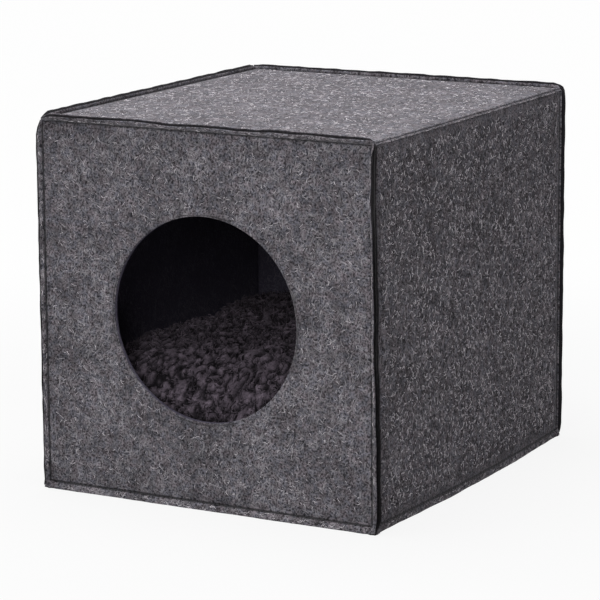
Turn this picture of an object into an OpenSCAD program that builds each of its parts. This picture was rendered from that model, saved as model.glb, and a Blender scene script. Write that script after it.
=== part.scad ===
/* [Cube] */
// Width across the tips of the side seams
cube_w = 330; // [280:5:420]
// Depth across the tips of the front and back seams
cube_d = 380; // [320:5:460]
// Height from the floor to the tips of the top seams
cube_h = 330; // [280:5:420]

/* [Wall layers] */
// Thickness of the outer felt
felt_t = 1.8; // [1.2:0.1:3]
// Thickness of the stiffening board
board_t = 2; // [1:0.1:4]
// Thickness of the lining felt
lining_t = 1.8; // [1.2:0.1:3]

/* [Seams] */
// Width of a seam lip from the fold to its cut edge
lip_w = 5; // [4:0.5:8]
// Length cut off the tip where three seams meet
corner_trim = 2; // [1:0.1:3]
// Depth of the flat pressed into the lips that stand on the floor
foot_flat = 0.8; // [0.4:0.1:1.2]
// Diameter of the sewing thread
thread_d = 0.8; // [0.4:0.1:1.2]
// Distance of the thread from the groove at the foot of its lip
thread_in = 1.6; // [1:0.1:2.5]
// Distance that the thread stops short of the corner of the panel
thread_short = 8; // [6:1:20]

/* [Boards] */
// Felt left between the edge of a panel and the pocket of its board
board_margin = 9; // [8:1:20]
// Clearance round a board in its pocket
board_gap = 0.4; // [0.2:0.1:1]
// Length clipped off the corners of a board
board_clip = 8; // [4:1:15]

/* [Entrance] */
// Diameter of the round entrance
entrance_d = 176; // [140:2:210]
// Height of the middle of the entrance above the floor
entrance_z = 164; // [150:1:180]
// Felt left between the entrance and the pocket of the front board
entrance_rim = 9; // [6:1:15]

/* [Cushion] */
// Gap between the cushion and the lining all round
cushion_gap = 6; // [3:0.5:15]
// Height of the cushion at its crown
cushion_h = 110; // [80:1:130]
// Height of the cushion's seam above its underside
cushion_seam = 34; // [25:1:50]
// Distance that the sides are drawn in between the corners
side_draw = 7; // [0:0.5:15]
// Distance that the underside curls in below the seam
base_curl = 22; // [10:1:40]
// Thickness of the plush cover with its pile
plush_t = 6; // [3:0.5:10]
// Thickness of the base cloth
base_t = 1.6; // [1:0.1:3]
// Gap between the filling and its covers
filling_gap = 0.3; // [0.2:0.1:1]
// Gap between the underside of the cushion and the floor lining
cushion_rest = 0.3; // [0.2:0.1:1]

/* [Hidden] */

felt_colour = [0.27, 0.26, 0.28];
board_colour = [0.55, 0.46, 0.35];
lining_colour = [0.12, 0.12, 0.13];
thread_colour = [0.06, 0.06, 0.07];
plush_colour = [0.09, 0.09, 0.10];
base_colour = [0.17, 0.17, 0.18];
filling_colour = [0.90, 0.90, 0.88];

// Every seam lies in the plane that halves the right angle between its two panels
mitre = 45;
// Angle of the line through a corner of the cube from the normal of each panel there
corner_angle = acos(1 / sqrt(3));
// Distance that every cut runs past the face that it leaves
overrun = 1;

// Distance on a panel from its edge back to the groove at the foot of its lip
lip_back = felt_t * sqrt(2);
// Rise of the lip where it touches its partner, and the further rise over its thickness
lip_rise = lip_w / sqrt(2);
lip_step = felt_t / sqrt(2);
// Reach of the lip tips past the outer face of a panel
tip_out = lip_rise + lip_step;
// Distance along the corner line from the corner of the panels to the trimmed face
trim_reach = sqrt(3) * lip_rise - corner_trim;

// Outer faces of the six panels
body_w = cube_w - 2 * tip_out;
body_d = cube_d - 2 * tip_out;
body_z = tip_out - foot_flat;
body_h = cube_h - tip_out - body_z;
middle_z = body_z + body_h / 2;

// Inner faces of the six panels
wall_t = felt_t + board_t + lining_t;
den_w = body_w - 2 * wall_t;
den_d = body_d - 2 * wall_t;
den_z = body_z + wall_t;

// Half width and half depth of the cushion, before its sides are drawn in
cushion_x = den_w / 2 - cushion_gap;
cushion_y = den_d / 2 - cushion_gap;
// Squareness of the plan and fullness of the crown: powers of the rounded outlines
corner_power = 6;
crown_power = 0.3;
// Points round the cushion, and rings over its crown and under its seam
cushion_points = 56;
crown_rings = 8;
base_rings = 4;
// Angle to which the crown is swept before it is closed flat
crown_sweep = 88;

// Each panel is drawn lying down with its outer face up at z = 0, and is then set on its side of the cube
module on_front() {
    translate([0, -body_d / 2, middle_z]) rotate([90, 0, 0]) children();
}

module on_back() {
    translate([0, body_d / 2, middle_z]) rotate([90, 0, 180]) children();
}

module on_left() {
    translate([-body_w / 2, 0, middle_z]) rotate([90, 0, -90]) children();
}

module on_right() {
    translate([body_w / 2, 0, middle_z]) rotate([90, 0, 90]) children();
}

module on_top() {
    translate([0, 0, body_z + body_h]) children();
}

module on_bottom() {
    translate([0, 0, body_z]) rotate([180, 0, 0]) children();
}

// Half of a profile mirrored about the middle of the panel
function both_sides(half) =
    concat(half, [for (i = [len(half) - 1:-1:0]) [-half[i][0], half[i][1]]]);

// Felt from its inner face to the square-cut tips of its two lips
function felt_profile(span) = both_sides([
    [span / 2 - felt_t, -felt_t],
    [span / 2 + lip_rise, lip_rise],
    [span / 2 + lip_rise - lip_step, tip_out]
]);

// Room in front of the felt between its lips
function room_profile(span) = both_sides([
    [span / 2 - lip_back, 0],
    [span / 2 - lip_back + tip_out + overrun, tip_out + overrun]
]);

// Lining with the depth of the board pocket, mitred against the next linings
function lining_profile(span) = both_sides([
    [span / 2 - wall_t, -wall_t],
    [span / 2 - felt_t, -felt_t]
]);

// The solid that has one profile across its width and the other across its height
module crossed(w, h, across, up) {
    intersection() {
        rotate([90, 0, 0])
            linear_extrude(height = h + 2 * (tip_out + overrun), center = true) polygon(across);
        rotate([90, 0, 90])
            linear_extrude(height = w + 2 * (tip_out + overrun), center = true) polygon(up);
    }
}

// What is cut off the four corners of a panel, square to the line through the corner of the cube
module corner_cuts(w, h) {
    block = 4 * lip_w;
    for (side = [-1, 1], end = [-1, 1])
        translate([side * w / 2, end * h / 2, 0])
            rotate([0, corner_angle, atan2(end, side)])
                translate([-block / 2, -block / 2, trim_reach])
                    cube(block);
}

// One felt panel: flat, with a lip folded out at 45 degrees along each edge
module lipped_felt(w, h) {
    difference() {
        crossed(w, h, felt_profile(w), felt_profile(h));
        crossed(w, h, room_profile(w), room_profile(h));
        corner_cuts(w, h);
    }
}

// A flat plate with clipped corners that stands on z = 0
module clipped_plate(w, h, t, clip) {
    linear_extrude(height = t)
        polygon([
            [w / 2, h / 2 - clip], [w / 2 - clip, h / 2], [clip - w / 2, h / 2], [-w / 2, h / 2 - clip],
            [-w / 2, clip - h / 2], [clip - w / 2, -h / 2], [w / 2 - clip, -h / 2], [w / 2, clip - h / 2]
        ]);
}

// A round cut through the whole front wall
module entrance_cut(d) {
    translate([0, entrance_z - middle_z, -wall_t - overrun])
        cylinder(d = d, h = wall_t + 2 * overrun, $fn = 96);
}

// A board between the outer felt and the lining
module board(w, h) {
    inset = board_margin + board_gap;
    translate([0, 0, -felt_t - board_t])
        clipped_plate(w - 2 * inset, h - 2 * inset, board_t, board_clip);
}

// The pocket that the lining leaves for the board
module board_pocket(w, h) {
    translate([0, 0, -felt_t - board_t])
        clipped_plate(w - 2 * board_margin, h - 2 * board_margin, board_t + overrun, board_clip);
}

// A lining panel that meets the outer felt all round its board
module lining(w, h) {
    difference() {
        crossed(w, h, lining_profile(w), lining_profile(h));
        board_pocket(w, h);
    }
}

// A half-round bar along y, flat side down
module half_round(d, length) {
    difference() {
        rotate([90, 0, 0]) cylinder(d = d, h = length, center = true, $fn = 24);
        translate([0, 0, -d]) cube([2 * d, length + 2 * overrun, 2 * d], center = true);
    }
}

// The thread along one lip, half sunk into the felt: turn 0 is the edge at +x, 90 the edge at +y
module lip_thread(w, h, turn) {
    along_y = turn % 180 == 0;
    reach = along_y ? w / 2 : h / 2;
    run = (along_y ? h : w) - 2 * thread_short;
    rotate([0, 0, turn])
        translate([reach - lip_back, 0, 0])
            rotate([0, -mitre, 0])
                translate([thread_in, 0, 0])
                    half_round(thread_d, run);
}

// The two threads of a seam: one on the lip of each panel that it joins
module front_thread(turn) {
    color(thread_colour) on_front() lip_thread(body_w, body_h, turn);
}

module back_thread(turn) {
    color(thread_colour) on_back() lip_thread(body_w, body_h, turn);
}

module left_thread(turn) {
    color(thread_colour) on_left() lip_thread(body_d, body_h, turn);
}

module right_thread(turn) {
    color(thread_colour) on_right() lip_thread(body_d, body_h, turn);
}

module top_thread(turn) {
    color(thread_colour) on_top() lip_thread(body_w, body_d, turn);
}

module bottom_thread(turn) {
    color(thread_colour) on_bottom() lip_thread(body_w, body_d, turn);
}

// Distance of the cushion's outline from its middle: a rounded oblong with its sides drawn in
function outline_r(turn, half_x, half_y) =
    pow(
        pow(abs(cos(turn)) / half_x, corner_power) + pow(abs(sin(turn)) / half_y, corner_power),
        -1 / corner_power
    ) - side_draw * pow(cos(2 * turn), 2);

function ring(half_x, half_y, share, z) = [
    for (i = [0:cushion_points - 1])
        let (turn = 360 * i / cushion_points, r = share * outline_r(turn, half_x, half_y))
            [r * cos(turn), r * sin(turn), z]
];

// Rings from the seam up over the crown
function crown(half_x, half_y, rise) = [
    for (i = [0:crown_rings])
        let (turn = crown_sweep * i / crown_rings)
            ring(
                half_x,
                half_y,
                pow(cos(turn), crown_power),
                cushion_seam + rise * pow(sin(turn) / sin(crown_sweep), crown_power)
            )
];

// Rings from the underside up to the seam
function underside(half_x, half_y, drop) = [
    for (i = [0:base_rings])
        let (turn = 90 * (1 - i / base_rings), inset = base_curl * (1 - cos(turn)))
            ring(half_x - inset, half_y - inset, 1, cushion_seam - drop * sin(turn))
];

function reversed(list) = [for (i = [len(list) - 1:-1:0]) list[i]];

// The closed skin over a list of rings, with the first and the last ring closed flat
module ring_skin(rings) {
    n = cushion_points;
    last = (len(rings) - 1) * n;
    sides = [
        for (k = [0:len(rings) - 2], i = [0:n - 1])
            let (a = k * n + i, b = k * n + (i + 1) % n)
                each [[a, a + n, b], [b, a + n, b + n]]
    ];
    polyhedron(
        points = [for (one = rings) each one],
        faces = concat(sides, [[for (i = [0:n - 1]) i], [for (i = [n - 1:-1:0]) last + i]])
    );
}

module set_cushion() {
    translate([0, 0, den_z + cushion_rest]) children();
}

// Outer felt
module front_felt() {
    color(felt_colour) on_front() difference() {
        lipped_felt(body_w, body_h);
        entrance_cut(entrance_d);
    }
}

module back_felt() {
    color(felt_colour) on_back() lipped_felt(body_w, body_h);
}

module left_felt() {
    color(felt_colour) on_left() lipped_felt(body_d, body_h);
}

module right_felt() {
    color(felt_colour) on_right() lipped_felt(body_d, body_h);
}

module top_felt() {
    color(felt_colour) on_top() lipped_felt(body_w, body_d);
}

module bottom_felt() {
    color(felt_colour) on_bottom() difference() {
        lipped_felt(body_w, body_d);
        translate([-cube_w / 2, -cube_d / 2, tip_out - foot_flat])
            cube([cube_w, cube_d, foot_flat + overrun]);
    }
}

// Stiffening boards
module front_board() {
    color(board_colour) on_front() difference() {
        board(body_w, body_h);
        entrance_cut(entrance_d + 2 * (entrance_rim + board_gap));
    }
}

module back_board() {
    color(board_colour) on_back() board(body_w, body_h);
}

module left_board() {
    color(board_colour) on_left() board(body_d, body_h);
}

module right_board() {
    color(board_colour) on_right() board(body_d, body_h);
}

module top_board() {
    color(board_colour) on_top() board(body_w, body_d);
}

module bottom_board() {
    color(board_colour) on_bottom() board(body_w, body_d);
}

// Lining
module front_lining() {
    color(lining_colour) on_front() difference() {
        crossed(body_w, body_h, lining_profile(body_w), lining_profile(body_h));
        difference() {
            board_pocket(body_w, body_h);
            entrance_cut(entrance_d + 2 * entrance_rim);
        }
        entrance_cut(entrance_d);
    }
}

module back_lining() {
    color(lining_colour) on_back() lining(body_w, body_h);
}

module left_lining() {
    color(lining_colour) on_left() lining(body_d, body_h);
}

module right_lining() {
    color(lining_colour) on_right() lining(body_d, body_h);
}

module top_lining() {
    color(lining_colour) on_top() lining(body_w, body_d);
}

module bottom_lining() {
    color(lining_colour) on_bottom() lining(body_w, body_d);
}

// Seam threads
module front_top_thread() {
    front_thread(90);
    top_thread(270);
}

module front_bottom_thread() {
    front_thread(270);
    bottom_thread(90);
}

module front_left_thread() {
    front_thread(180);
    left_thread(0);
}

module front_right_thread() {
    front_thread(0);
    right_thread(180);
}

module back_top_thread() {
    back_thread(90);
    top_thread(90);
}

module back_bottom_thread() {
    back_thread(270);
    bottom_thread(270);
}

module back_left_thread() {
    back_thread(0);
    left_thread(180);
}

module back_right_thread() {
    back_thread(180);
    right_thread(0);
}

module top_left_thread() {
    top_thread(180);
    left_thread(90);
}

module top_right_thread() {
    top_thread(0);
    right_thread(90);
}

module bottom_left_thread() {
    bottom_thread(180);
    left_thread(270);
}

module bottom_right_thread() {
    bottom_thread(0);
    right_thread(270);
}

// Cushion: a plush cover above the seam, a plain cloth below it, and the filling
module cushion_plush() {
    rise = cushion_h - cushion_seam;
    color(plush_colour) set_cushion() ring_skin(concat(
        reversed(crown(cushion_x - plush_t, cushion_y - plush_t, rise - plush_t)),
        crown(cushion_x, cushion_y, rise)
    ));
}

module cushion_base() {
    color(base_colour) set_cushion() ring_skin(concat(
        underside(cushion_x, cushion_y, cushion_seam),
        reversed(underside(cushion_x - base_t, cushion_y - base_t, cushion_seam - base_t))
    ));
}

module cushion_filling() {
    inset = plush_t + filling_gap;
    seam_up = crown(cushion_x - inset, cushion_y - inset, cushion_h - cushion_seam - inset);
    seam_down = underside(cushion_x - inset, cushion_y - inset, cushion_seam - base_t - filling_gap);
    color(filling_colour) set_cushion() ring_skin(concat(
        seam_down,
        [for (i = [1:crown_rings]) seam_up[i]]
    ));
}

front_felt();
back_felt();
left_felt();
right_felt();
top_felt();
bottom_felt();
front_board();
back_board();
left_board();
right_board();
top_board();
bottom_board();
front_lining();
back_lining();
left_lining();
right_lining();
top_lining();
bottom_lining();
front_top_thread();
front_bottom_thread();
front_left_thread();
front_right_thread();
back_top_thread();
back_bottom_thread();
back_left_thread();
back_right_thread();
top_left_thread();
top_right_thread();
bottom_left_thread();
bottom_right_thread();
cushion_plush();
cushion_base();
cushion_filling();
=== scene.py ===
import math
import random
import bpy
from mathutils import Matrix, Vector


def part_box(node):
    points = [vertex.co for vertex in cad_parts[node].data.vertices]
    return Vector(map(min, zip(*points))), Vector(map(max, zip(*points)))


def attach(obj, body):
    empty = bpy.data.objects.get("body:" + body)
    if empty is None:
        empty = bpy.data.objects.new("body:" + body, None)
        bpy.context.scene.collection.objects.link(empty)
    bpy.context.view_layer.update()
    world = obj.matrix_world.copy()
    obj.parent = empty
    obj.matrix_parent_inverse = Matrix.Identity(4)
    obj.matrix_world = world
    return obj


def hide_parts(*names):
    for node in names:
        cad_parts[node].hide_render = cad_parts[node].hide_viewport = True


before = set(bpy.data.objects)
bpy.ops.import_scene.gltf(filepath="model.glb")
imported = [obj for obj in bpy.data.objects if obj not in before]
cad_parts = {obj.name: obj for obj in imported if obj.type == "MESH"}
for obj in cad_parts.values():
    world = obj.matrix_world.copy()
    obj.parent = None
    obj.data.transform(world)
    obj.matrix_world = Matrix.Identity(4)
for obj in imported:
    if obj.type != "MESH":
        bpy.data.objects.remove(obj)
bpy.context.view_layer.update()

from types import SimpleNamespace

import bmesh
import bpy
from mathutils import Quaternion, Vector, noise


# Stiffening boards. Flat pasteboard, one slipped between the outer felt and the lining of each wall.
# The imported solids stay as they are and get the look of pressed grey-brown paper pulp.
pulp_brown = (0.36, 0.28, 0.19, 1)
pulp_pale = (0.52, 0.43, 0.31, 1)
pulp_fleck_size = 0.0016
pulp_patch_size = 0.06
# Most values of a noise texture lie between these two
usual_noise = (0.3, 0.7)


def feed(tree, node, sockets):
    """Gives each of a node's sockets a value or a link."""
    for name, value in sockets.items():
        if isinstance(value, bpy.types.NodeSocket):
            tree.links.new(value, node.inputs[name])
        else:
            node.inputs[name].default_value = value


def material(paint):
    """A material with a function's name. The function builds its nodes and gives its shader's sockets."""
    made = bpy.data.materials.new(paint.__name__)
    made.use_nodes = True
    feed(made.node_tree, made.node_tree.nodes["Principled BSDF"], paint(made.node_tree))
    return made


def place(tree, kind, sockets, **settings):
    """A new shader node with its settings and its sockets."""
    made = tree.nodes.new("ShaderNode" + kind)
    for name, value in settings.items():
        setattr(made, name, value)
    feed(tree, made, sockets)
    return made


def on_piece(tree):
    """Where a point lies on its piece, in metres."""
    return place(tree, "TexCoord", {}).outputs["Object"]


def marked(tree, name):
    """A mark that the mesh carries at its points."""
    return place(tree, "Attribute", {}, attribute_name=name).outputs["Fac"]


def cloudy(tree, where, scale, detail, distortion=0.0):
    """A noise texture of so many lumps to the metre."""
    sockets = {"Vector": where, "Scale": scale, "Detail": detail, "Distortion": distortion}
    return place(tree, "TexNoise", sockets).outputs[0]


def mixed(tree, factor, first, second, blend="MIX"):
    """The colour between two colours."""
    return place(tree, "Mix", {0: factor, 6: first, 7: second}, data_type="RGBA", blend_type=blend).outputs[2]


def times(tree, colour, tone):
    """A colour made lighter or darker."""
    return mixed(tree, 1.0, colour, tone, "MULTIPLY")


def ranged(tree, value, low, high, to_low, to_high):
    """A value carried smoothly from one range to another."""
    sockets = {"Value": value, "From Min": low, "From Max": high, "To Min": to_low, "To Max": to_high}
    return place(tree, "MapRange", sockets, interpolation_type="SMOOTHSTEP").outputs[0]


def spread(tree, cloud, to_low, to_high):
    """A noise texture carried to a range of its own."""
    return ranged(tree, cloud, *usual_noise, to_low, to_high)


def sums(tree, operation, first, second=0.0):
    """One sum with one or two values."""
    return place(tree, "Math", {0: first, 1: second}, operation=operation).outputs[0]


def bumped(tree, height, strength, deep):
    """The direction of a face that is raised by a height."""
    return place(tree, "Bump", {"Height": height, "Strength": strength, "Distance": deep}).outputs[0]


def new_effect(name, takes, gives):
    """An empty shader node group with its sockets."""
    group = bpy.data.node_groups.new(name, "ShaderNodeTree")
    for socket, kind in takes:
        group.interface.new_socket(socket, in_out="INPUT", socket_type="NodeSocket" + kind)
    for socket, kind in gives:
        group.interface.new_socket(socket, in_out="OUTPUT", socket_type="NodeSocket" + kind)
    return group, group.nodes.new("NodeGroupInput"), group.nodes.new("NodeGroupOutput")


def slow_drift_effect():
    """Broad soft patches that make a surface a little lighter and darker."""
    group, taken, given = new_effect(
        "slow_drift",
        [("Where", "Vector"), ("Patch size", "Float"), ("Darkest", "Float"), ("Palest", "Float")],
        [("Tone", "Float")],
    )
    per_metre = sums(group, "DIVIDE", 1.0, taken.outputs["Patch size"])
    cloud = cloudy(group, taken.outputs["Where"], per_metre, 2.0)
    feed(group, given, {"Tone": spread(group, cloud, taken.outputs["Darkest"], taken.outputs["Palest"])})
    return group


slow_drift = slow_drift_effect()


def drifting(tree, where, patch_size, darkest, palest):
    """The tone of a surface in its soft patches."""
    sockets = {"Where": where, "Patch size": patch_size, "Darkest": darkest, "Palest": palest}
    return place(tree, "Group", sockets, node_tree=slow_drift).outputs["Tone"]


@material
def pasteboard(tree):
    """Pressed pulp with pale and dark flecks."""
    where = on_piece(tree)
    fleck = cloudy(tree, where, 1 / pulp_fleck_size, 4.0)
    pulp = mixed(tree, ranged(tree, fleck, 0.35, 0.7, 0.0, 1.0), pulp_brown, pulp_pale)
    return {
        "Base Color": times(tree, pulp, drifting(tree, where, pulp_patch_size, 0.9, 1.08)),
        "Roughness": ranged(tree, fleck, 0.2, 0.8, 0.95, 0.8),
        "Normal": bumped(tree, fleck, 0.3, 0.0003),
    }


for node_name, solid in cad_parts.items():
    if node_name.endswith("_board"):
        solid.data.materials.clear()
        solid.data.materials.append(pasteboard)


# Lining. Dark needle felt on the inner face of each wall, mitred against the next wall at every corner of
# the den and glued to the outer felt round the board. Each is a cut sheet with a slightly uneven face.
felt_thick = 0.0018
lining_thick = 0.0018
board_thick = 0.002
lining_step = 0.006
lining_uneven = 0.00025
# Its broad and its fine waves to the metre, and the share of the fine ones
lining_waves = (60, 170, 0.5)
# How far from the mitres the waves begin, and how far on they have their full height
lining_still = 0.008
lining_ease = 0.01
board_edge = 0.0092
mitre_gap = 0.0001
# Rings of mesh between the entrance and the rim, and how much they crowd towards the entrance
hole_rings = 18
hole_crowding = 1.3
lining_dark = (0.055, 0.049, 0.072, 1)
lining_pale = (0.12, 0.112, 0.14, 1)
root2 = math.sqrt(2)

# The outer faces of the six walls lie one felt outside the lining
bottom_low, top_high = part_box("bottom_lining")[0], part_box("top_lining")[1]
half_size = Vector((
    top_high.x + felt_thick,
    top_high.y + felt_thick,
    (top_high.z - bottom_low.z) / 2 + felt_thick,
))
middle = Vector((0, 0, (top_high.z + bottom_low.z) / 2))


def wall_of(out, across):
    """A wall of the cube: which way it faces, its own two directions, half sizes and its face's middle."""
    out, across = Vector(out), Vector(across)
    up = out.cross(across)
    return SimpleNamespace(
        out=out,
        across=across,
        up=up,
        half_across=abs(across.dot(half_size)),
        half_up=abs(up.dot(half_size)),
        centre=middle + out * abs(out.dot(half_size)),
    )


walls = {
    "front": wall_of((0, -1, 0), (1, 0, 0)),
    "back": wall_of((0, 1, 0), (-1, 0, 0)),
    "left": wall_of((-1, 0, 0), (0, -1, 0)),
    "right": wall_of((1, 0, 0), (0, 1, 0)),
    "top": wall_of((0, 0, 1), (1, 0, 0)),
    "bottom": wall_of((0, 0, -1), (1, 0, 0)),
}

# The entrance is round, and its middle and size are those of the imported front
entrance_r = 0.088
entrance_up = 0.164 - middle.z


def smooth(x):
    """From 0 to 1 without a kink at either end."""
    x = min(1.0, max(0.0, x))
    return x * x * (3 - 2 * x)


def waves(spot, broad, fine, share):
    """Uneven height at a spot, from broad waves and a share of fine ones."""
    return noise.noise(spot * broad) + share * noise.noise(spot * fine)


def even_steps(half, step):
    """Places from one side to the other, about a step apart."""
    count = round(2 * half / step)
    return [half * (2 * i / count - 1) for i in range(count + 1)]


def once_round(last_u, last_v):
    """Places in a grid once round its rim, anticlockwise."""
    return (
        [(i, 0) for i in range(last_u)]
        + [(last_u, j) for j in range(last_v)]
        + [(i, last_v) for i in range(last_u, 0, -1)]
        + [(0, j) for j in range(last_v, 0, -1)]
    )


def put_in(name, data):
    """A new object in the scene."""
    made = bpy.data.objects.new(name, data)
    bpy.context.scene.collection.objects.link(made)
    return made


def shade_smooth(piece):
    """Shades every face of a piece smoothly."""
    piece.data.polygons.foreach_set("use_smooth", [True] * len(piece.data.polygons))


def new_piece(name, points, faces, look):
    """A smooth-shaded mesh object with one material."""
    mesh = bpy.data.meshes.new(name)
    mesh.from_pydata(points, [], faces)
    mesh.materials.append(look)
    piece = put_in(name, mesh)
    shade_smooth(piece)
    return piece


def mark(piece, name, values):
    """Gives each point of a piece a value that its material reads."""
    piece.data.attributes.new(name, "FLOAT", "POINT").data.foreach_set("value", values)


def band(first, second):
    """Quads between two closed rings of point numbers."""
    n = len(first)
    return [(first[i], second[i], second[(i + 1) % n], first[(i + 1) % n]) for i in range(n)]


class Sheet:
    """A closed sheet of felt for one wall, made of rings round its rim and a face on either side."""

    def __init__(self, wall, rim, step, put):
        self.wall, self.rim, self.put = wall, rim, put
        self.half_u = wall.half_across + rim[0][0]
        self.half_v = wall.half_up + rim[0][0]
        self.us = even_steps(self.half_u, step)
        self.vs = even_steps(self.half_v, step)
        self.path = once_round(len(self.us) - 1, len(self.vs) - 1)
        self.points, self.faces = [], []
        # Marks of painted shade in the groove, and of black backing that also paints shade between the lips
        self.crease, self.backing_and_gap_shade = [], []

    def add(self, u, v, n, crease=0.0, backing_and_gap_shade=0.0):
        """One more point, with its marks, and its number."""
        self.points.append(self.put(self.wall, u, v, n))
        self.crease.append(crease)
        self.backing_and_gap_shade.append(backing_and_gap_shade)
        return len(self.points) - 1

    def rim_rings(self):
        """One ring of points for each step of the rim's profile: how far out, how high, painted groove shade,
        and black backing that also paints the shade between lips.
        """
        rings = []
        for out, high, crease, backing_and_gap_shade in self.rim:
            wide = (self.wall.half_across + out) / self.half_u
            tall = (self.wall.half_up + out) / self.half_v
            rings.append([
                self.add(self.us[i] * wide, self.vs[j] * tall, high, crease, backing_and_gap_shade) for i, j in self.path
            ])
        return rings

    def close_face(self, ring, high, outward):
        """Fills the space inside a ring with a grid."""
        number = dict(zip(self.path, ring))
        last_u, last_v = len(self.us) - 1, len(self.vs) - 1
        for i in range(1, last_u):
            for j in range(1, last_v):
                number[i, j] = self.add(self.us[i], self.vs[j], high)
        for i in range(last_u):
            for j in range(last_v):
                quad = [number[i, j], number[i + 1, j], number[i + 1, j + 1], number[i, j + 1]]
                self.faces.append(quad if outward else quad[::-1])

    def round_rings(self, shares, high, radius=entrance_r):
        """Rings that go from a round hole, at share 0, to the start of the rim, at share 1."""
        rings = []
        hub = Vector((0, entrance_up))
        for share in shares:
            ring = []
            for i, j in self.path:
                corner = Vector((self.us[i], self.vs[j]))
                spot = hub + (corner - hub).normalized() * radius
                spot = spot.lerp(corner, share)
                ring.append(self.add(spot.x, spot.y, high))
            rings.append(ring)
        return rings

    def piece(self, name, look):
        """The finished mesh with its marks."""
        made = new_piece(name, self.points, self.faces, look)
        mark(made, "crease", self.crease)
        mark(made, "backing_and_gap_shade", self.backing_and_gap_shade)
        return made


def plain_sheet(name, wall, rim, step, put, look):
    """A sheet whose two faces are closed."""
    sheet = Sheet(wall, rim, step, put)
    rings = sheet.rim_rings()
    for first, second in zip(rings, rings[1:]):
        sheet.faces += band(first, second)
    sheet.close_face(rings[0], rim[0][1], True)
    sheet.close_face(rings[-1], rim[-1][1], False)
    return sheet.piece(name, look)


def holed_sheet(name, wall, rim, step, put, look, edge):
    """A sheet with the round entrance. Its edge lists how far back and how high the hole's wall runs."""
    sheet = Sheet(wall, rim, step, put)
    shares = [(i / hole_rings) ** hole_crowding for i in range(1, hole_rings)]
    outer = sheet.round_rings(shares, rim[0][1])
    inner = sheet.round_rings(shares[::-1], rim[-1][1])
    wall_rings = [sheet.round_rings([0.0], high, entrance_r + back)[0] for back, high in edge]
    rings = outer + sheet.rim_rings() + inner + wall_rings
    for first, second in zip(rings, rings[1:] + rings[:1]):
        sheet.faces += band(first, second)
    return sheet.piece(name, look)


# A fibre's length and width, how often and how far it bends in a metre, and the seven ways that fibres lie,
# as three turns and how strongly they show
fibre_size = (0.012, 0.0013, 0.0013)
fibre_bends, fibre_bend = 70.0, 0.006
fibre_lies = (
    (0.2, 0.3, 0.1, 1.0),
    (1.4, 0.8, 0.9, 0.9),
    (0.7, 1.5, 2.2, 1.0),
    (2.3, 0.5, 1.7, 0.8),
    (1.9, 2.4, 0.4, 0.9),
    (2.8, 1.1, 2.7, 1.0),
    (0.5, 2.0, 1.3, 0.7),
)
# Crowds of fibres, tufts and grains to the metre
fibre_crowds, fibre_tufts, fibre_grains = 32.0, 120.0, 540.0


def matted_fibres_effect():
    """Short curled fibres of needle felt: pale threads that show for a little and dive under again."""
    group, taken, given = new_effect(
        "matted_fibres",
        [("Where", "Vector")],
        [("Fibre", "Float"), ("Tuft", "Float"), ("Grain", "Float")],
    )
    where = taken.outputs["Where"]
    bend = place(group, "TexNoise", {"Vector": where, "Scale": fibre_bends, "Detail": 0.0}).outputs[1]
    bend = place(group, "VectorMath", {0: bend, "Scale": fibre_bend}, operation="SCALE").outputs[0]
    bent = place(group, "VectorMath", {0: where, 1: bend}, operation="ADD").outputs[0]
    fibre = 0.0
    for roll, pitch, yaw, weight in fibre_lies:
        sockets = {"Vector": bent, "Rotation": (roll, pitch, yaw), "Scale": fibre_size}
        along = place(group, "Mapping", sockets, vector_type="TEXTURE").outputs[0]
        dash = cloudy(group, along, 1.0, 1.0)
        fibre = sums(group, "MAXIMUM", ranged(group, dash, 0.62, 0.72, 0.0, weight), fibre)
    crowd = cloudy(group, where, fibre_crowds, 1.0)
    feed(group, given, {
        "Fibre": sums(group, "MULTIPLY", fibre, ranged(group, crowd, 0.35, 0.65, 0.5, 1.0)),
        "Tuft": cloudy(group, where, fibre_tufts, 3.0, 0.5),
        "Grain": cloudy(group, where, fibre_grains, 2.0),
    })
    return group


matted_fibres = matted_fibres_effect()


@material
def lining_felt(tree):
    """Dark felt with a few paler fibres."""
    felt = place(tree, "Group", {"Where": on_piece(tree)}, node_tree=matted_fibres).outputs
    return {
        "Base Color": mixed(tree, felt["Fibre"], lining_dark, lining_pale),
        "Roughness": spread(tree, felt["Grain"], 1.0, 0.9),
        "Normal": bumped(tree, felt["Grain"], 0.4, 0.0004),
        "Specular IOR Level": 0.1,
    }


def lining_put(wall, u, v, n):
    """A point of the lining: its faces lie a little uneven away from the mitres."""
    inside = max(abs(u) - wall.half_across, abs(v) - wall.half_up)
    spot = wall.centre + wall.across * u + wall.up * v
    wave = waves(spot, *lining_waves) * smooth((-inside - lining_still) / lining_ease)
    return spot + wall.out * (n + lining_uneven * wave)


lining_back = -felt_thick - board_thick
lining_front = lining_back - lining_thick
lining_shoulder = -0.003
lining_inset = -0.016
# Round its rim, from the board's side to the den's: how far out and how high
lining_rim = [
    (out, high, 0.0, 0.0)
    for out, high in (
        (lining_inset, lining_back - 0.0003),
        (-board_edge, lining_back - 0.0003),
        (-board_edge + 0.0004, lining_shoulder),
        (lining_shoulder - 0.0008, lining_shoulder),
        (lining_shoulder - mitre_gap, lining_shoulder - 0.0002),
        (lining_front - mitre_gap + 0.0003, lining_front + 0.0003),
        (lining_front - 0.0006, lining_front),
        (lining_front - 0.004, lining_front),
        (lining_inset, lining_front),
    )
]
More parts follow.
